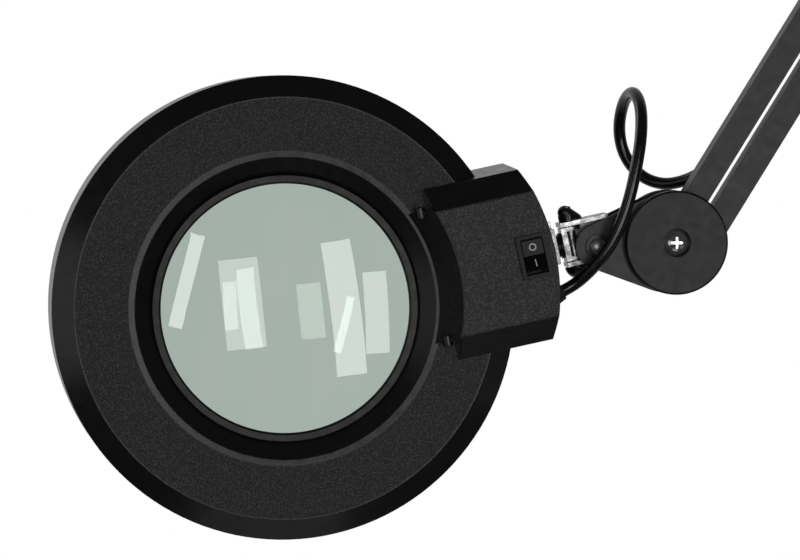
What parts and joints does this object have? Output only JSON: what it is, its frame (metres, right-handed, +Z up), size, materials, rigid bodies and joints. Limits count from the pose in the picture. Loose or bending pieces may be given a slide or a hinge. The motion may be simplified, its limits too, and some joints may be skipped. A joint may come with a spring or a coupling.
{
  "type": "magnifying lamp",
  "caption": "Clamp-on magnifying lamp with a round lens in a lit ring head, rocker switch box, swivel neck and a parallel-bar arm on a bench clamp.",
  "frame": {"origin": "on the bench face under the clamp's upper jaw, on the axis of the base swivel", "axes": "+Z up, away from the bench; the arm moves in the XZ plane, the head hangs towards -X and the lens's upper side faces -Y; the clamp opens towards +X"},
  "size_m": [0.6969, 0.1234, 0.7049],
  "materials": {
    "head_plastic": "stippled moulded plastic",
    "lens_ring_plastic": "fine grained moulding",
    "lens_glass": "polished",
    "board": "solder mask",
    "led": "phosphor",
    "frosted": "frosted translucent",
    "steel_screw": "plated",
    "component": "sleeved",
    "switch_black": "semi-gloss",
    "rubber_black": "matt",
    "zinc": "zinc plated",
    "dark_washer": "blackened",
    "cord_pvc": "glossy flexible sheath",
    "knob_black": "satin",
    "arm_paint": "satin powder coat",
    "cover_paint": "satin",
    "chrome": "bright",
    "spring_steel": "oiled wire",
    "clamp_paint": "powder coat",
    "brass": "machined",
    "plug_black": "moulded"
  },
  "bodies": {
    "clamp": {"clamp_frame": "clamp_paint", "clamp_bush": "brass", "mains_lead": "cord_pvc", "mains_coil": "cord_pvc", "mains_tail": "cord_pvc", "mains_plug": "plug_black"},
    "clamp_pad": {"clamp_pad": "zinc"},
    "clamp_screw": {"clamp_screw": "zinc", "clamp_handle": "zinc"},
    "base_unit": {"base_post": "zinc", "base_plate_front": "arm_paint", "base_plate_rear": "arm_paint", "base_covers": "cover_paint", "base_pins": "steel_screw", "base_bolts": "chrome", "lead_strain_relief": "rubber_black"},
    "lower_bar_left": {"lower_bar_left": "arm_paint", "lower_cable": "cord_pvc"},
    "lower_bar_right": {"lower_bar_right": "arm_paint", "lower_spring": "spring_steel"},
    "elbow": {"elbow_plate_front": "arm_paint", "elbow_plate_rear": "arm_paint", "elbow_covers": "cover_paint", "elbow_pins": "steel_screw", "elbow_bolts": "chrome"},
    "upper_bar_front": {"upper_bar_front": "arm_paint", "upper_cable": "cord_pvc"},
    "upper_bar_back": {"upper_bar_back": "arm_paint", "upper_spring": "spring_steel"},
    "end_link": {"link_plate_front": "arm_paint", "link_plate_rear": "arm_paint", "link_covers": "cover_paint", "link_pins": "steel_screw", "link_bolt": "chrome", "tilt_bolt": "zinc", "tilt_washers": "dark_washer", "tilt_nut": "zinc"},
    "yoke": {"yoke": "zinc", "pitch_bolt": "zinc", "pitch_nut": "knob_black"},
    "pitch_knob": {"pitch_knob": "knob_black"},
    "knuckle": {"knuckle": "zinc"},
    "head": {"head_housing": "head_plastic", "lens": "lens_glass", "lens_ring": "lens_ring_plastic", "led_board": "board", "leds": "led", "diffuser": "frosted", "diffuser_screws": "steel_screw", "driver_cover": "head_plastic", "driver_base": "head_plastic", "driver_board": "board", "driver_parts": "component", "switch_body": "switch_black", "head_grommet": "rubber_black", "head_stirrup": "zinc", "swivel_rivet": "zinc", "swivel_washers": "dark_washer", "head_cord": "cord_pvc"},
    "rocker": {"rocker": "switch_black"}
  },
  "joints": [
    {"name": "clamp_travel", "type": "slide", "parent": "clamp", "child": "clamp_pad", "axis": [0, 0, 1], "range_m": [-0.024, 0.026]},
    {"name": "clamp_screw_turn", "type": "hinge", "parent": "clamp_pad", "child": "clamp_screw", "pos_m": [0.028, 0, -0.06], "axis": [0, 0, 1], "range_deg": [-6240, 6240]},
    {"name": "base_swivel", "type": "hinge", "parent": "clamp", "child": "base_unit", "pos_m": [0, 0, 0.03], "axis": [0, 0, 1], "range_deg": [-90, 90], "deforming": ["mains_lead"]},
    {"name": "lower_arm", "type": "hinge", "parent": "base_unit", "child": "lower_bar_left", "pos_m": [-0.015, 0, 0.095], "axis": [0, -1, 0], "range_deg": [-10, 35]},
    {"name": "lower_arm_link", "type": "hinge", "parent": "base_unit", "child": "lower_bar_right", "pos_m": [0.015, 0, 0.095], "axis": [0, -1, 0], "range_deg": [-10.5, 35.5]},
    {"name": "elbow_level", "type": "hinge", "parent": "lower_bar_left", "child": "elbow", "pos_m": [0.05967, 0, 0.51847], "axis": [0, -1, 0], "range_deg": [-35.5, 10.5]},
    {"name": "upper_arm", "type": "hinge", "parent": "elbow", "child": "upper_bar_front", "pos_m": [0.02487, 0, 0.57147], "axis": [0, -1, 0], "range_deg": [-98, 2]},
    {"name": "upper_arm_link", "type": "hinge", "parent": "elbow", "child": "upper_bar_back", "pos_m": [0.02487, 0, 0.54147], "axis": [0, -1, 0], "range_deg": [-98.5, 2.5]},
    {"name": "end_level", "type": "hinge", "parent": "upper_bar_front", "child": "end_link", "pos_m": [-0.203, 0, 0.20681], "axis": [0, -1, 0], "range_deg": [-2.5, 98.5]},
    {"name": "head_tilt", "type": "hinge", "parent": "end_link", "child": "yoke", "pos_m": [-0.2462, 0, 0.19311], "axis": [0, -1, 0], "range_deg": [-60, 60]},
    {"name": "head_pitch", "type": "hinge", "parent": "yoke", "child": "knuckle", "pos_m": [-0.2569, 0, 0.19441], "axis": [-0.2079, 0, 0.9781], "range_deg": [-38, 38], "deforming": ["head_cord"]},
    {"name": "head_swivel", "type": "hinge", "parent": "knuckle", "child": "head", "pos_m": [-0.26463, 0, 0.19277], "axis": [0.9781, 0, 0.2079], "range_deg": [-90, 90]},
    {"name": "pitch_knob_turn", "type": "hinge", "parent": "yoke", "child": "pitch_knob", "pos_m": [-0.25981, 0, 0.2081], "axis": [-0.2079, 0, 0.9781], "range_deg": [-360, 90]},
    {"name": "switch_rocker", "type": "hinge", "parent": "head", "child": "rocker", "pos_m": [-0.28077, -0.0278, 0.18934], "axis": [0.9781, 0, 0.2079], "range_deg": [0, 18]}
  ],
  "couplings": [
    {"joint": "clamp_screw_turn", "follows": "clamp_travel", "rad_per_m": 4188.8},
    {"joint": "lower_arm_link", "follows": "lower_arm", "ratio": 1},
    {"joint": "elbow_level", "follows": "lower_arm", "ratio": -1},
    {"joint": "upper_arm_link", "follows": "upper_arm", "ratio": 1},
    {"joint": "end_level", "follows": "upper_arm", "ratio": -1}
  ]
}
